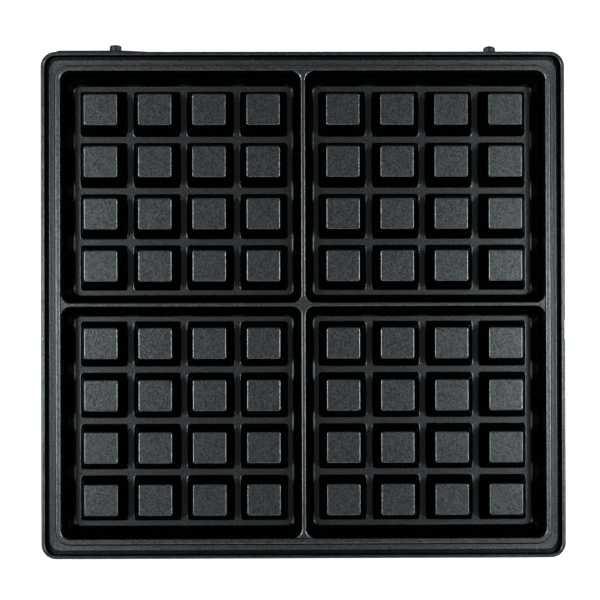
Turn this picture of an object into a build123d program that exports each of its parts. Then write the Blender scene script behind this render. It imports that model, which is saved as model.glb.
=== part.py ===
from build123d import *
from math import atan2, degrees
import os

# Loose waffle plate: a coated casting with four cells of pegs and two rear lugs.
# Millimetres, +Z up, rear of the plate towards +Y, resting on the plane Z = 0.

# Pegs that press the pockets into the waffle
peg_columns = 4
peg_rows = 4
peg_top_x = 15.5
peg_top_y = 14.3
peg_pitch_x = 25.2
peg_pitch_y = 24.25
peg_flare = 3.0  # how much further out the foot stands than the top, each side
peg_corner = 1.0
peg_edge_radius = 0.6
peg_foot_radius = 1.0

# Cells, and the ribs that part them
cell_depth = 12.2
cell_corner_rim = 4.4
cell_corner_floor = 3.4
cell_foot_radius = 1.4
floor_margin = 3.6  # foot of a peg to the foot of the cell's wall, all round the pegs
outer_margin = 11.1  # peg top to the bead
rib_distance_x = 18.55  # middle of a rib to the middle of the peg beside it
rib_distance_y = 18.0
rib_top_x = 1.75
rib_top_y = 1.45
rib_drop = 0.8  # how far the ribs stay below the bead
rib_edge_radius = 0.5

# Bead, flange, groove and lip, from the cells outwards
bead_width = 2.0
bead_height = 3.0
bead_lean = 1.05
bead_edge_radius = 0.5
flange_width = 2.5
flange_thickness = 4.2
flange_edge_radius = 0.4
groove_width = 1.9
groove_depth = 2.6
lip_width = 2.0
lip_rise = 0.4
lip_round = 0.9
outer_corner = 7.0
flange_corner = 5.0
skirt_drop = 10.2  # lower edge of the skirt below the flange

# Casting thickness and the hollow underside
floor_thickness = 3.0
wall_thickness = 3.0
peg_wall = 2.6
peg_cap = 3.2
hollow_corner = 2.5
hollow_round = 1.0
rib_groove_mouth = 5.0
rib_groove_top = 1.8
rib_groove_height = 7.0
rib_groove_end = 12.0  # solid length left at each end of a rib
underside_round = 1.5

# U-shaped track that seats on the tube heater, and carries the plate on a table
track_height = 4.0
track_width = 12.0
track_bend = 24.0
track_tail = 15.0  # from the rear end of the track to the foot of the cell wall
track_edge_radius = 0.8
heater_radius = 3.4
heater_seat_depth = 2.2

# Lugs pressed into bosses of the rear skirt
lug_spacing = 176.4
lug_radius = 2.85
lug_length = 3.4
lug_pip_radius = 0.9
lug_pip_length = 0.4
lug_drop = 6.2  # lug axis below the flange
lug_end_radius_left = 0.4
lug_end_radius_right = 1.1
shank_radius = 2.0
shank_length = 8.0
boss_width = 10.0
boss_below = 4.6  # boss below the lug axis

# Catch slot in the front skirt, and small marks of the casting
catch_length = 30.0
catch_height = 3.2
catch_drop = 6.2  # middle of the slot below the flange
pad_rise = 0.6
pad_run_in = 1.5
pad_length = 31.7
pad_run_out = 12.1
gate_length = 9.3
gate_depth = 0.4
gate_offset = 11.7  # gate mark in front of the middle of the plate
ejector_radius = 2.9
ejector_depth = 0.3

# How the solids are joined and cut, with no effect on the finished shape
hidden_lap = 0.05  # cells of the floor block reach this far past the frame's walls
patch_rim = 0.2  # floor patch of a peg beyond its rounded foot
cut_past = 1.0  # how far a cut runs on past the face that it opens
near = 0.001  # a face or edge this close to a place counts as being there

# Heights
web_z = track_height
floor_z = web_z + floor_thickness
rim_z = floor_z + cell_depth
rib_z = rim_z - rib_drop
flange_z = rim_z - bead_height
flange_under_z = flange_z - flange_thickness
lip_z = flange_z + lip_rise
skirt_z = flange_z - skirt_drop
lug_z = flange_z - lug_drop
catch_z = flange_z - catch_drop

# Middle of a cell's peg pattern, from the middle of the plate
pattern_x = rib_distance_x + (peg_columns - 1) * peg_pitch_x / 2
pattern_y = rib_distance_y + (peg_rows - 1) * peg_pitch_y / 2

# Floor of a cell, centred on its pegs
peg_foot_x = peg_top_x + 2 * peg_flare
peg_foot_y = peg_top_y + 2 * peg_flare
floor_x = (peg_columns - 1) * peg_pitch_x + peg_foot_x + 2 * floor_margin
floor_y = (peg_rows - 1) * peg_pitch_y + peg_foot_y + 2 * floor_margin

# The cells' walls lean out from the floor to the bead, and to the ribs
wall_lean = outer_margin - peg_flare - floor_margin
field_x = 2 * pattern_x + floor_x + 2 * wall_lean
field_y = 2 * pattern_y + floor_y + 2 * wall_lean
rib_foot_x = 2 * pattern_x - floor_x
rib_foot_y = 2 * pattern_y - floor_y

# Cells are cut up to the height of the bead, where a rib's leaning sides would be closer still
rib_rise = cell_depth / (cell_depth - rib_drop)
rib_rim_x = rib_foot_x + (rib_top_x - rib_foot_x) * rib_rise
rib_rim_y = rib_foot_y + (rib_top_y - rib_foot_y) * rib_rise
cell_x = (field_x - rib_rim_x) / 2
cell_y = (field_y - rib_rim_y) / 2

# Rim, from the bead outwards
bead_foot_x = field_x + 2 * (bead_width + bead_lean)
bead_foot_y = field_y + 2 * (bead_width + bead_lean)
flange_x = bead_foot_x + 2 * flange_width
flange_y = bead_foot_y + 2 * flange_width
inside_lip_x = flange_x + 2 * groove_width
inside_lip_y = flange_y + 2 * groove_width
plate_x = inside_lip_x + 2 * lip_width
plate_y = inside_lip_y + 2 * lip_width

# The lugs reach past the rear edge, and the origin is under the middle of the whole
lug_reach = pad_rise + lug_length + lug_pip_length
centre_y = -lug_reach / 2
rear_y = centre_y + plate_y / 2
front_y = centre_y - plate_y / 2

# The heater runs between the middle peg columns, and crosses behind the front peg row
track_front = -pattern_y - peg_pitch_y
track_rear = field_y / 2 - wall_lean - track_tail


def level(height):
    """A plane at this height, over the middle of the plate."""
    return Plane(origin=(0, centre_y, height))


def draft(run, rise):
    """The angle of a face that leans this far over this height."""
    return degrees(atan2(run, rise))


def slab(size_x, size_y, corner, height):
    """A rounded rectangle over the middle of the plate."""
    with BuildSketch(level(height)) as outline:
        RectangleRounded(size_x, size_y, corner)
    return outline.sketch


def field(height, grow=0.0):
    """The outline of all four cells together at one height, or a line that lies grow outside."""
    down = (rim_z - height) / cell_depth
    corner = cell_corner_rim + (cell_corner_floor - cell_corner_rim) * down + grow
    side = 2 * (grow - wall_lean * down)
    return slab(field_x + side, field_y + side, corner, height)


def heater_line(height, past=0.0):
    """The heater's U at this height, running on past the track's rear ends."""
    with BuildLine(level(height)) as route:
        FilletPolyline(
            (-pattern_x, track_rear + past),
            (-pattern_x, track_front),
            (pattern_x, track_front),
            (pattern_x, track_rear + past),
            radius=track_bend,
        )
    return route.line


def level_face(part, height):
    """The flat face of the part at this height."""
    flat = part.faces().filter_by(Plane.XY)
    return flat.filter_by_position(Axis.Z, height - near, height + near)[0]


def quarters(offset_x, offset_y):
    """Four places, one in each quarter of the plate."""
    return [(x, centre_y + y) for x in (-offset_x, offset_x) for y in (-offset_y, offset_y)]


peg_places = [
    (x + peg_pitch_x * (i - (peg_columns - 1) / 2), y + peg_pitch_y * (j - (peg_rows - 1) / 2))
    for x, y in quarters(pattern_x, pattern_y)
    for i in range(peg_columns)
    for j in range(peg_rows)
]


def peg_shape(size_x, size_y, low_z, high_z, corner, edge_radius):
    """A block from one height to another, with a peg's leaning sides and rounded edges."""
    with BuildPart() as block:
        with BuildSketch(Plane.XY.offset(low_z)):
            Rectangle(size_x, size_y)
        extrude(amount=high_z - low_z, taper=draft(peg_flare, cell_depth))
        fillet(block.edges().group_by(Axis.Z)[1], corner)
        fillet(block.edges().group_by(Axis.Z)[-1], edge_radius)
    return block.part


# One peg on a patch of floor, with a rounded foot
with BuildPart() as peg:
    add(peg_shape(peg_foot_x, peg_foot_y, floor_z, rim_z, peg_corner, peg_edge_radius))
    patch_more = peg_foot_radius + patch_rim
    with BuildSketch(Plane.XY.offset(floor_z)):
        RectangleRounded(
            peg_foot_x + 2 * patch_more, peg_foot_y + 2 * patch_more, peg_corner + patch_more
        )
    extrude(amount=-floor_thickness / 2)
    fillet(level_face(peg, floor_z).inner_wires()[0].edges(), peg_foot_radius)

# The space inside one peg, open to the underside
peg_hollow = peg_shape(
    peg_foot_x - 2 * peg_wall,
    peg_foot_y - 2 * peg_wall,
    web_z,
    rim_z - peg_cap,
    hollow_corner,
    hollow_round,
)

# The outline of the track that seats on the heater
with BuildSketch(level(0)) as track_outline:
    trace(heater_line(0), track_width)

# The track, with a half-round seat for the heater
with BuildPart() as track:
    extrude(track_outline.sketch, amount=web_z)
    fillet(track.edges().group_by(Axis.Z)[0], track_edge_radius)
    seat_line = heater_line(heater_seat_depth - heater_radius, past=cut_past)
    with BuildSketch(Plane(origin=seat_line @ 0, z_dir=seat_line % 0)):
        Circle(heater_radius)
    sweep(path=seat_line, mode=Mode.SUBTRACT)

# All the hollows of the underside, stopped where the track runs
with BuildPart() as hollows:
    with Locations(*peg_places):
        add(peg_hollow)
    with BuildSketch(level(web_z)):
        Rectangle(rib_groove_mouth, field_y - 2 * rib_groove_end)
        Rectangle(field_x - 2 * rib_groove_end, rib_groove_mouth)
    groove_lean = (rib_groove_mouth - rib_groove_top) / 2
    extrude(amount=rib_groove_height, taper=draft(groove_lean, rib_groove_height))
    extrude(track_outline.sketch, amount=rim_z, mode=Mode.SUBTRACT)
    # round marks of the ejector pins, between the hollows
    with BuildSketch(Plane.XY.offset(web_z)):
        with Locations(
            *quarters(pattern_x + peg_pitch_x, pattern_y + peg_pitch_y),
            *quarters(pattern_x - peg_pitch_x, pattern_y - peg_pitch_y),
        ):
            Circle(ejector_radius)
    extrude(amount=ejector_depth)

# The space of one cell, a little larger where it meets the frame, and then of all four
with BuildPart() as cells:
    half_lap = hidden_lap / 2
    with BuildSketch(Plane.XY.offset(floor_z)):
        with Locations((pattern_x + half_lap, pattern_y + half_lap)):
            RectangleRounded(floor_x + hidden_lap, floor_y + hidden_lap, cell_corner_floor)
    with BuildSketch(Plane.XY.offset(rim_z)):
        with Locations(((field_x - cell_x) / 2 + half_lap, (field_y - cell_y) / 2 + half_lap)):
            RectangleRounded(cell_x + hidden_lap, cell_y + hidden_lap, cell_corner_rim)
    loft(ruled=True)
    fillet(cells.edges().group_by(Axis.Z)[0], cell_foot_radius)
    mirror(about=Plane.YZ)
    mirror(about=Plane.XZ)

# Floor block: floor, ribs and pegs, hollow underneath
with BuildPart() as floor_block:
    loft([field(web_z, wall_thickness / 2), field(rib_z, wall_thickness / 2)], ruled=True)
    with Locations((0, centre_y)):
        add(cells.part, mode=Mode.SUBTRACT)
    rib_loops = level_face(floor_block, rib_z).inner_wires()
    fillet([edge for loop in rib_loops for edge in loop.edges()], rib_edge_radius)
    with Locations(*peg_places):
        add(peg.part)
    add(hollows.part, mode=Mode.SUBTRACT)

# The whole casting: a frame round the floor block, and the track below it
with BuildPart() as waffle_plate:
    # Flange, and the cell walls that hang from it
    extrude(slab(plate_x, plate_y, outer_corner, flange_under_z), amount=flange_thickness)
    loft([field(web_z, wall_thickness), field(flange_under_z, wall_thickness)], ruled=True)
    fillet(waffle_plate.edges().group_by(Axis.Z)[0], underside_round)

    # Lip and skirt, with the groove inside the lip
    with BuildSketch(level(skirt_z)):
        RectangleRounded(plate_x, plate_y, outer_corner)
        RectangleRounded(inside_lip_x, inside_lip_y, outer_corner - lip_width, mode=Mode.SUBTRACT)
    extrude(amount=lip_z - skirt_z)
    with BuildSketch(level(flange_z)):
        RectangleRounded(inside_lip_x, inside_lip_y, outer_corner - lip_width)
        RectangleRounded(flange_x, flange_y, flange_corner, mode=Mode.SUBTRACT)
    extrude(amount=-groove_depth, mode=Mode.SUBTRACT)
    fillet(level_face(waffle_plate, lip_z).edges(), lip_round)
    fillet(level_face(waffle_plate, flange_z).edges(), flange_edge_radius)

    # Bead round the cells
    bead_corner = cell_corner_rim + bead_width + bead_lean
    with BuildSketch(level(flange_z)):
        RectangleRounded(bead_foot_x, bead_foot_y, bead_corner)
    extrude(amount=bead_height, taper=draft(bead_lean, bead_height))

    # Bosses for the lugs, from the skirt to the cell wall
    boss_length = (plate_y - field_y) / 2 + wall_lean - lip_width / 2
    boss_places = [(x, rear_y - lip_width / 2) for x in (-lug_spacing / 2, lug_spacing / 2)]
    with BuildSketch(Plane.XY.offset(lug_z - boss_below)):
        with Locations(*boss_places):
            Rectangle(boss_width, boss_length, align=(Align.CENTER, Align.MAX))
    extrude(amount=flange_under_z - lug_z + boss_below)

    # The space of the cells, cut right through, and the bead's rounded edges
    loft([field(web_z - cut_past), field(rim_z + cut_past)], ruled=True, mode=Mode.SUBTRACT)
    fillet(level_face(waffle_plate, rim_z).edges(), bead_edge_radius)

    # Thicker stretch of the rear lip, beside the left lug
    pad_start = outer_corner - plate_x / 2
    with BuildSketch(level(skirt_z)):
        with BuildLine():
            Polyline(
                (pad_start, plate_y / 2),
                (pad_start + pad_run_in, plate_y / 2 + pad_rise),
                (pad_start + pad_length, plate_y / 2 + pad_rise),
                (pad_start + pad_length + pad_run_out, plate_y / 2),
                (pad_start + pad_length, plate_y / 2 - lip_width / 2),
                (pad_start + pad_run_in, plate_y / 2 - lip_width / 2),
                close=True,
            )
        make_face()
    extrude(amount=lip_z - lip_round - skirt_z)

    # Holes that take the lugs' shanks
    hole_planes = [
        Plane(origin=(-lug_spacing / 2, rear_y + pad_rise, lug_z), z_dir=(0, 1, 0)),
        Plane(origin=(lug_spacing / 2, rear_y, lug_z), z_dir=(0, 1, 0)),
    ]
    with Locations(*hole_planes):
        Hole(shank_radius, depth=shank_length)

    # Slot for the catch in the front skirt
    with BuildSketch(Plane(origin=(0, front_y, catch_z), z_dir=(0, -1, 0), x_dir=(1, 0, 0))):
        SlotOverall(catch_length, catch_height)
    extrude(amount=-lip_width - cut_past, mode=Mode.SUBTRACT)

    # Mark where the casting was broken from its gate
    with Locations((plate_x / 2, centre_y - gate_offset, (skirt_z + lip_z) / 2)):
        Box(2 * gate_depth, gate_length, 2 * (lip_z - skirt_z), mode=Mode.SUBTRACT)

    # Floor block and track
    add([floor_block.part, track.part])

waffle_plate.part.label = "waffle_plate"


def lug(x, seat_y, end_radius, label):
    """A lug with its shank, seated on the skirt at seat_y and pointing to the rear."""
    with BuildPart() as pin:
        with BuildSketch(Plane(origin=(x, seat_y, lug_z), x_dir=(0, 1, 0), z_dir=(1, 0, 0))):
            with BuildLine():
                Polyline(
                    (-shank_length, 0),
                    (-shank_length, shank_radius),
                    (0, shank_radius),
                    (0, lug_radius),
                    (lug_length, lug_radius),
                    (lug_length, lug_pip_radius),
                    (lug_length + lug_pip_length, lug_pip_radius),
                    (lug_length + lug_pip_length, 0),
                    close=True,
                )
            make_face()
        revolve(axis=Axis((x, seat_y, lug_z), (0, 1, 0)))
        end_y = seat_y + lug_length
        rims = pin.edges().filter_by_position(Axis.Y, end_y - near, end_y + near)
        fillet(rims.sort_by(SortBy.RADIUS)[-1], end_radius)
    pin.part.label = label
    return pin.part


lugs = [
    lug(-lug_spacing / 2, rear_y + pad_rise, lug_end_radius_left, "rear_lug_left"),
    lug(lug_spacing / 2, rear_y, lug_end_radius_right, "rear_lug_right"),
]

os.makedirs("parts", exist_ok=True)
for piece in [waffle_plate.part, *lugs]:
    export_step(piece, f"parts/{piece.label}.step")
    print(piece.label, len(piece.solids()), "solid", round(piece.volume), "mm3")
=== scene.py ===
# %% [markdown]
# A loose waffle plate of a sandwich maker, seen from straight above.
# The real plate is one aluminium die casting with a black non-stick coat and two short lugs
# on its rear edge. Its shape is all hard metal, so the solids of the CAD frame are shown as
# they are, and this script gives them their coat, their light and their camera.
# Lengths are metres. +X is to the right, +Y to the rear edge with the lugs, +Z up.

# %% The fixed frame
import math

import bpy
from mathutils import Matrix, Vector


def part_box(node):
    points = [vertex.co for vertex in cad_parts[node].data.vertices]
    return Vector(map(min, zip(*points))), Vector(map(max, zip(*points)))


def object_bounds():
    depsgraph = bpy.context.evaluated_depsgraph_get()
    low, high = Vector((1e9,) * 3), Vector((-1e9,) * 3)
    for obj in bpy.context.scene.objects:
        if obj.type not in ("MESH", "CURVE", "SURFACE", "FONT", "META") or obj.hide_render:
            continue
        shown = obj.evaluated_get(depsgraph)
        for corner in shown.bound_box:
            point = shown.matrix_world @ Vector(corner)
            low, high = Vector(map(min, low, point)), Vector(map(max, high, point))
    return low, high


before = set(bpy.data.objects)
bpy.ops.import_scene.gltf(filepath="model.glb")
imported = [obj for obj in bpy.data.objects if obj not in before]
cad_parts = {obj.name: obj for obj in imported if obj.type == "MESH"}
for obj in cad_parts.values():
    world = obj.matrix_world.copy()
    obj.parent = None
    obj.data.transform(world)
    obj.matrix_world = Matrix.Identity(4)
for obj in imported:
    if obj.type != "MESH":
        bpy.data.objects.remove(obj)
cad_low, cad_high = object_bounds()
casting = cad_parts["waffle_plate"]
lugs = [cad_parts[name] for name in ("rear_lug_left", "rear_lug_right")]
MM = 0.001
PLATE_DEPTH = 236.9 * MM  # without the lugs and the thicker stretch of the lip
plate_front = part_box("waffle_plate")[0].y
middle_y = plate_front + PLATE_DEPTH / 2
print("solids:", sorted(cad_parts))
print("size in mm:", [round(side / MM, 1) for side in cad_high - cad_low])
print("the plate's middle lies at y =", round(middle_y / MM, 2), "mm")

# %% [markdown]
# The finishes below are sums and products of masks, such as height, slope and grain.
# Wiring such sums by hand takes many lines, so a small class wraps a socket and turns Python's
# operators into Math nodes. Its `node` method adds every other kind of node.

# %% Shader maths as Python expressions


class Wire:
    """An output socket of a material's nodes, for use in arithmetic."""

    def __init__(self, tree, socket):
        self.tree = tree
        self.socket = socket

    def node(self, kind, settings=None, sockets=None, output=0):
        """Add a node: first its settings, then the values or wires of its sockets."""
        new = self.tree.nodes.new(kind)
        for name, value in (settings or {}).items():
            setattr(new, name, value)
        for key, value in (sockets or {}).items():
            if isinstance(value, Wire):
                self.tree.links.new(value.socket, new.inputs[key])
            else:
                new.inputs[key].default_value = value
        return Wire(self.tree, new.outputs[output])

    def math(self, operation, *terms):
        """A Math node on up to three numbers or wires."""
        return self.node("ShaderNodeMath", {"operation": operation}, dict(enumerate(terms)))

    def __add__(self, other):
        return self.math("ADD", self, other)

    def __sub__(self, other):
        return self.math("SUBTRACT", self, other)

    def __rsub__(self, other):
        return self.math("SUBTRACT", other, self)

    def __mul__(self, other):
        return self.math("MULTIPLY", self, other)

    def __abs__(self):
        return self.math("ABSOLUTE", self)

    __radd__ = __add__
    __rmul__ = __mul__

    def over(self, other):
        """The larger of the two."""
        return self.math("MAXIMUM", self, other)

    def under(self, other):
        """The smaller of the two."""
        return self.math("MINIMUM", self, other)

    def root(self):
        """The square root of this."""
        return self.math("SQRT", self)

    def axis(self, name):
        """One coordinate of a place or a direction."""
        return self.node("ShaderNodeSeparateXYZ", None, {"Vector": self}, output=name)

    def step(self, start, end):
        """0 up to start and 1 beyond end, with a smooth change between them."""
        sockets = {"Value": self, "From Min": start, "From Max": end}
        return self.node("ShaderNodeMapRange", {"interpolation_type": "SMOOTHSTEP"}, sockets)

    def blend(self, low, high):
        """The colour low where this is 0, and high where it is 1."""
        first, second, result = 6, 7, 2  # the Mix node's own sockets for colours
        sockets = {"Factor": self, first: low, second: high}
        return self.node("ShaderNodeMix", {"data_type": "RGBA"}, sockets, output=result)

    def tint(self, colour):
        """A colour with its brightness multiplied by this."""
        sockets = {0: colour, "Scale": self}
        return self.node("ShaderNodeVectorMath", {"operation": "SCALE"}, sockets)

    def lowered(self, mask, level):
        """This, brought down to the given share of itself where the mask is 1."""
        return self * (1 - (1 - level) * mask)


def new_finish(name):
    """A material, its shader node, and a wire on the place in the object's own frame."""
    material = bpy.data.materials.new(name)
    material.use_nodes = True
    tree = material.node_tree
    shader = tree.nodes["Principled BSDF"]
    place = Wire(tree, tree.nodes.new("ShaderNodeTexCoord").outputs["Object"])
    return material, shader, place


def feed(shader, name, wire):
    """Link a wire to one of the shader's sockets."""
    wire.tree.links.new(wire.socket, shader.inputs[name])


def grain(place, size, detail=2.0):
    """Noise between 0 and 1 whose lumps are about this size across."""
    sockets = {"Vector": place, "Scale": 1 / size, "Detail": detail}
    return place.node("ShaderNodeTexNoise", {"noise_dimensions": "3D"}, sockets)


print("a wire knows:", [name for name in vars(Wire) if not name.startswith("_")])

# %% [markdown]
# The coat is a fluoropolymer, sprayed on and baked. It looks black, satin rather than shiny.
# It is filled with fine dark flakes that lie flat, so it mirrors the room a little like dark
# metal and stays dark at a glancing view, where a plain lacquer turns bright. A lacquer over
# a black ground is the other way to make it, but its walls come out grey, and those of the
# pegs are nearly black. So the coat is a metal with a dark base colour and a dark edge tint.
# A flat black would look like paper, and the casting is blasted before it is sprayed. So the
# grain bends the normal, the gloss changes from lump to lump, and the flakes mottle the colour.

# %% Non-stick coat
FLAKE_SIZE = 0.7 * MM
GRAIN_SIZE = 0.8 * MM
GRAIN_HEIGHT = 0.07 * MM
GRAIN_DETAIL = 3.0
PEEL_SIZE = 4.5 * MM  # the slow waves of a sprayed coat
PEEL_HEIGHT = 0.02 * MM
COAT_DARK = (0.056, 0.064, 0.069, 1)
COAT_LIGHT = (0.150, 0.169, 0.180, 1)
COAT_EDGE = (0.28, 0.28, 0.28, 1)
FLAKE_RANGE = (0.3, 0.7)  # of the noise, from dark to light
COAT_ROUGHNESS = 0.24
GRAIN_ROUGHNESS = 0.10  # added on the lumps
PEEL_ROUGHNESS = 0.04  # added on the waves
BARE_METAL = (0.62, 0.63, 0.64)
BARE_ROUGHNESS = 0.38
BARE_LEVEL = 0.8  # of the bare metal's brightness
BARE_MOTTLE = 0.4  # added on the waves


def coat_finish(name, tone_and_painted_shade, grain_height=GRAIN_HEIGHT, relief=None, bare=None):
    """The coat, its colour scaled by the level given: painted shade on the plate, and the lugs'
    own tone on the lugs; with a relief, and left off where bare is 1.
    """
    material, shader, place = new_finish(name)
    lumps = grain(place, GRAIN_SIZE, GRAIN_DETAIL)
    peel = grain(place, PEEL_SIZE)
    flakes = grain(place, FLAKE_SIZE).step(*FLAKE_RANGE)
    # On the plate this scaling is painted shade; on the lugs it is their own darker, uneven tone.
    colour = tone_and_painted_shade(place).tint(flakes.blend(COAT_DARK, COAT_LIGHT))
    roughness = COAT_ROUGHNESS + GRAIN_ROUGHNESS * lumps + PEEL_ROUGHNESS * peel
    height = lumps * grain_height + peel * PEEL_HEIGHT
    if relief:
        height = height + relief(place)
    if bare:
        uncoated = bare(place)
        colour = uncoated.blend(colour, (BARE_LEVEL + BARE_MOTTLE * peel).tint(BARE_METAL))
        roughness = roughness + uncoated * (BARE_ROUGHNESS - roughness)
    feed(shader, "Base Color", colour)
    feed(shader, "Roughness", roughness)
    bump = place.node("ShaderNodeBump", None, {"Height": height, "Distance": 1.0})
    feed(shader, "Normal", bump)
    shader.inputs["Metallic"].default_value = 1.0
    shader.inputs["Specular Tint"].default_value = COAT_EDGE
    print(name, "has", len(material.node_tree.nodes), "nodes")
    return material


print("grain:", round(GRAIN_SIZE / MM, 2), "mm across,", round(GRAIN_HEIGHT / MM, 2), "mm high")

# %% [markdown]
# The coat's colour is darkened here as painted shade, where shade falls and where the feet
# would glint: in the photograph the pegs' walls and feet are nearly black, the floor of the cells
# is about two thirds as bright as the pegs, and the narrow groove inside the outer lip is black.
# The lip is darker too. The slope comes from the normal, and the rest from the height above
# the table, because every form of the plate has a height of its own.

# %% Painted shade on the plate's walls, feet, floors, groove and lip
# Painted shade: the share of the pegs' brightness that the coat's colour keeps in each place.
RECESS_SHADE = 0.7  # of the brightness on the pegs
WALL_SHADE = 0.3
FOOT_SHADE = 0.12
GROOVE_SHADE = 0.2
LIP_SHADE = 0.6
# Where each mask starts, and where it is whole: the upward part of the normal, and heights.
WALL_SLOPES = (0.8, 0.5)
FOOT_SLOPES = (0.997, 0.95)
RECESS_HEIGHTS = (17 * MM, 8 * MM)
FOOT_HEIGHTS = (16.3 * MM, 16.1 * MM)
GROOVE_BOTTOM = (12.5 * MM, 13 * MM)
GROOVE_TOP = (16.15 * MM, 15.9 * MM)
LIP_BOTTOM = (16.3 * MM, 16.45 * MM)
LIP_TOP = (17.2 * MM, 16.9 * MM)


def plate_painted_shade(place):
    """The coat's painted shade: 1 on the pegs, and less in the recesses, walls, feet, groove and
    lip.
    """
    upright = abs(place.node("ShaderNodeNewGeometry", output="Normal").axis("Z"))
    height = place.axis("Z")
    recess = height.step(*RECESS_HEIGHTS)
    foot = upright.step(*FOOT_SLOPES) * height.step(*FOOT_HEIGHTS)
    wall = upright.step(*WALL_SLOPES)
    groove = height.step(*GROOVE_BOTTOM) * height.step(*GROOVE_TOP)
    lip = height.step(*LIP_BOTTOM) * height.step(*LIP_TOP)
    # Painted shade: each mask brings the coat's colour down to its share.
    level = (1 - recess) + recess * RECESS_SHADE
    level = level.lowered(wall, WALL_SHADE).lowered(foot * (1 - wall), FOOT_SHADE)
    return level.lowered(groove, GROOVE_SHADE).lowered(lip, LIP_SHADE)


print("recesses", RECESS_SHADE, "walls", WALL_SHADE, "feet", FOOT_SHADE, "groove", GROOVE_SHADE)

# %% [markdown]
# At the left and right the flange is darker than the bead beside it, and at the rear and the
# front it is brighter towards its outer edge. A flange that rises slightly outwards does this:
# only a tenth of a millimetre, which is too little for the solid, so it is a bump.

# %% Slight rise of the flange
FLANGE_X = 116.05 * MM  # from the middle of the plate to the bead's foot
FLANGE_Y = 112.05 * MM
FLANGE_WIDTH = 2.5 * MM
FLANGE_BEND = 36.0  # slope gained per metre, outwards


def flange_rise(place):
    """The height of the rise, which starts level at the bead's foot."""
    beside = abs(place.axis("X")) - FLANGE_X
    before = abs(place.axis("Y") - middle_y) - FLANGE_Y
    outward = beside.over(before).over(0)
    return outward * outward.under(FLANGE_WIDTH) * (FLANGE_BEND / 2)


print("rise at the edge:", round(FLANGE_WIDTH**2 * FLANGE_BEND / 2 / MM, 2), "mm")

# %% [markdown]
# The appliance's tube heater presses against a half-round seat under the plate, shaped like a
# U. A seat passes heat best as bare metal, so it is masked before the plate is sprayed. The
# mask is the distance from the U's middle line: two legs, a front run and two round bends.

# %% Bare heater seat
SEAT_LEGS = 112.7 * MM  # between the two legs
SEAT_FRONT = -80.8 * MM  # the middle of the front run
SEAT_BEND = 24.0 * MM
SEAT_HALF_WIDTH = 3.1 * MM
SEAT_DEPTH = 2.2 * MM
SEAT_BLEND = 0.2 * MM


def heater_seat(place):
    """1 in the seat, and 0 elsewhere."""
    across = abs(place.axis("X")) - (SEAT_LEGS / 2 - SEAT_BEND)
    along = (SEAT_FRONT + SEAT_BEND) - place.axis("Y")
    past_bend = (across.over(0) * across.over(0) + along.over(0) * along.over(0)).root()
    off_line = abs(past_bend + across.over(along).under(0) - SEAT_BEND)
    low = place.axis("Z").step(SEAT_DEPTH, SEAT_DEPTH - SEAT_BLEND)
    return low * off_line.step(SEAT_HALF_WIDTH, SEAT_HALF_WIDTH - SEAT_BLEND)


print("seat:", round(2 * SEAT_HALF_WIDTH / MM, 1), "mm wide")
print("its legs:", round(SEAT_LEGS / MM, 1), "mm apart")

# %% [markdown]
# The lugs are smoother than the blasted casting, and they look darker and less even.

# %% Coat on the solids
LUG_LEVEL = 0.35
LUG_MOTTLE = 0.3
LUG_GRAIN_HEIGHT = 0.02 * MM


def lug_sheen(place):
    """How bright the coat is on a lug."""
    return LUG_LEVEL + LUG_MOTTLE * grain(place, GRAIN_SIZE, GRAIN_DETAIL)


# The plate's coat carries painted shade in its recesses; the lugs' level is their own tone.
coat = coat_finish("non_stick_coat", plate_painted_shade, relief=flange_rise, bare=heater_seat)
lug_coat = coat_finish("lug_coat", lug_sheen, grain_height=LUG_GRAIN_HEIGHT)
for node, finish in [(casting, coat), *[(lug, lug_coat) for lug in lugs]]:
    for material_slot in node.material_slots:
        material_slot.material = finish
    print(node.name, "wears", finish.name)

# %% [markdown]
# The photograph has a white ground without a backdrop edge. A flat sheet of pale paint, wide
# enough to reach the horizon in any view, stands in for it, and the plate keeps its soft
# shadow on it. Paint alone would come out light grey, so a glow lifts it to white: faint near
# the plate, and full far away, where the softboxes hardly reach. Only camera, mirrored and
# transmitted rays meet the glow: it shows in the picture and in the coat's gloss, and lights
# nothing else. It stops under the plate, where it would show as a white mark through the slot
# in the front skirt.

# %% Pale floor
FLOOR_SIDE = 60.0
FLOOR_GAP = 0.05 * MM  # below the plate, so that the two faces don't flicker
PAINT = (0.8, 0.8, 0.8, 1)
PAINT_ROUGHNESS = 0.9
NEAR_GLOW = (0.5, 0.5, 0.5, 1)
FAR_GLOW = (1, 1, 1, 1)
GLOW_DISTANCES = (0.5, 2.5)  # where it starts to grow, and where it is full
GLOW_MARGIN = (-8 * MM, -2 * MM)  # past the plate's edge, so less than 0 is under the plate


def floor_finish():
    """Pale paint, with a glow around the plate."""
    material, shader, place = new_finish("pale_floor")
    shader.inputs["Base Color"].default_value = PAINT
    shader.inputs["Roughness"].default_value = PAINT_ROUGHNESS
    shader.inputs["Emission Strength"].default_value = 1.0
    seen = place.node("ShaderNodeLightPath", output="Is Camera Ray")
    mirrored = place.node("ShaderNodeLightPath", output="Is Glossy Ray")
    through = place.node("ShaderNodeLightPath", output="Is Transmission Ray")
    shown = seen.over(mirrored).over(through)
    beside = abs(place.axis("X")) - cad_high.x
    before = abs(place.axis("Y") - middle_y) - PLATE_DEPTH / 2
    clear = beside.over(before).step(*GLOW_MARGIN)
    distance = (place.axis("X") * place.axis("X") + place.axis("Y") * place.axis("Y")).root()
    glow = distance.step(*GLOW_DISTANCES).blend(NEAR_GLOW, FAR_GLOW)
    feed(shader, "Emission Color", (shown * clear).tint(glow))
    return material


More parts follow.
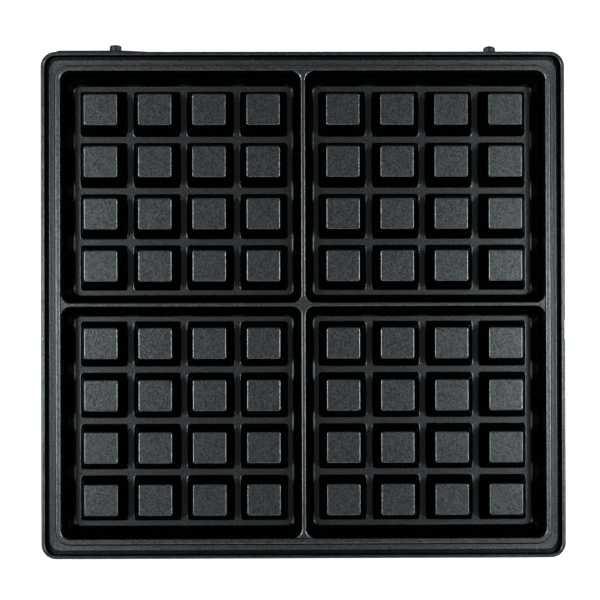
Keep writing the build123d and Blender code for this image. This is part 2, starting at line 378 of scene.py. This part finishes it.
floor_mesh = bpy.data.meshes.new("floor")
half = FLOOR_SIDE / 2
corners = [(-half, -half, 0), (half, -half, 0), (half, half, 0), (-half, half, 0)]
floor_mesh.from_pydata(corners, [], [(0, 1, 2, 3)])
floor = bpy.data.objects.new("floor", floor_mesh)
bpy.context.scene.collection.objects.link(floor)
floor.location.z = cad_low.z - FLOOR_GAP
floor_mesh.materials.append(floor_finish())
print("floor", FLOOR_SIDE, "m square at z =", round(floor.location.z / MM, 2), "mm")

# %% [markdown]
# What the eye sees of a coat this dark is mostly the room, mirrored in it. The pegs brighten
# towards the left and right edges of the plate. The floor between two rows of pegs is bright,
# while the floor between two columns is nearly black, because the pegs shade it. So the light
# comes low from the left and from the right: two softboxes, with a wide gap between them in
# which the camera stands. Farther apart they would darken the middle of the plate, and closer
# together they would shine down between the columns.

# %% Softboxes
BOX_REACH = 1.1  # from the plate to each softbox
BOX_WIDTH = 0.26
BOX_LENGTH = 0.34
BOX_TILT = 38  # degrees off straight up
BOX_REARWARD = 0.03
BOX_POWER = 7.8


def softbox(name, tilt):
    """An area lamp that faces the plate from this far off straight up, in degrees."""
    lamp = bpy.data.lights.new(name, "AREA")
    lamp.shape = "RECTANGLE"
    lamp.size = BOX_WIDTH
    lamp.size_y = BOX_LENGTH
    lamp.energy = BOX_POWER
    box = bpy.data.objects.new(name, lamp)
    turn = Matrix.Rotation(math.radians(tilt), 4, "Y")
    box.matrix_world = turn @ Matrix.Translation((0, BOX_REARWARD, BOX_REACH))
    bpy.context.scene.collection.objects.link(box)
    print(name, "at", [round(v, 2) for v in box.matrix_world.translation])


softbox("softbox_left", tilt=-BOX_TILT)
softbox("softbox_right", tilt=BOX_TILT)

# %% [markdown]
# The rest of the room is dim: darkest straight overhead, where the camera and its support are,
# and lighter beside them. It is light in front, which draws the thin light line along the
# front edges of the pegs, and white at the horizon, where the floor ends.

# %% Room
OVERHEAD_LEVEL = 0.055
BESIDE_LEVEL = 0.3
HORIZON_LEVEL = 1.0
FRONT_LEVEL = 1.1
BESIDE_RANGE = (0.05, 0.35)  # how far the view leans to a side
HORIZON_RANGE = (0.4, 0.05)  # how far it looks up
FRONT_RANGE = (-0.45, -0.7)  # how far it leans to the rear, so less than 0 is in front

world = bpy.data.worlds.new("studio")
bpy.context.scene.world = world
world.use_nodes = True
room = world.node_tree.nodes["Background"]
room.inputs["Color"].default_value = (1, 1, 1, 1)
coordinates = world.node_tree.nodes.new("ShaderNodeTexCoord")
direction = Wire(world.node_tree, coordinates.outputs["Generated"])
beside = abs(direction.axis("X")).step(*BESIDE_RANGE)
overhead = OVERHEAD_LEVEL + (BESIDE_LEVEL - OVERHEAD_LEVEL) * beside
horizon = HORIZON_LEVEL * direction.axis("Z").step(*HORIZON_RANGE)
front = FRONT_LEVEL * direction.axis("Y").step(*FRONT_RANGE)
level = overhead.over(horizon).over(front)
feed(room, "Strength", level)
print("room level", OVERHEAD_LEVEL, "overhead and", HORIZON_LEVEL, "at the horizon")

# %% [markdown]
# The photograph was taken from almost straight above, from a point a little in front of the
# plate's middle: the pegs at the rear lean away from it more than those in front do. The
# camera stands at that point and is turned half a degree at most, as measured from the tops
# and the feet of the pegs. Its lens is shifted to bring the plate back into the frame.

# %% Camera
PICTURE_SIDE = 600  # pixels
CAMERA_HEIGHT = 0.585  # above the peg tops
CAMERA_RIGHT = -6.5 * MM  # from the plate's middle
CAMERA_REAR = -28.9 * MM
CAMERA_TURNS = (0.30, -0.47, -0.16)  # degrees about X, Y and Z
FOCAL_PX = 1259.7
SHIFT_UP = 0.1  # of the picture's side
SENSOR = 36.0

camera_data = bpy.data.cameras.new("camera")
camera_data.sensor_width = SENSOR
camera_data.lens = SENSOR * FOCAL_PX / PICTURE_SIDE
camera_data.shift_y = SHIFT_UP
camera_data.dof.use_dof = False
camera = bpy.data.objects.new("camera", camera_data)
camera.location = Vector((CAMERA_RIGHT, middle_y + CAMERA_REAR, cad_high.z + CAMERA_HEIGHT))
camera.rotation_euler = [math.radians(turn) for turn in CAMERA_TURNS]
bpy.context.scene.collection.objects.link(camera)
bpy.context.scene.camera = camera
print("lens", round(camera_data.lens, 1), "mm, camera at", [round(v, 4) for v in camera.location])

# %% [markdown]
# The picture is shown with the Standard view, so a colour looks as it is written.

bpy.context.scene.view_settings.view_transform = "Standard"
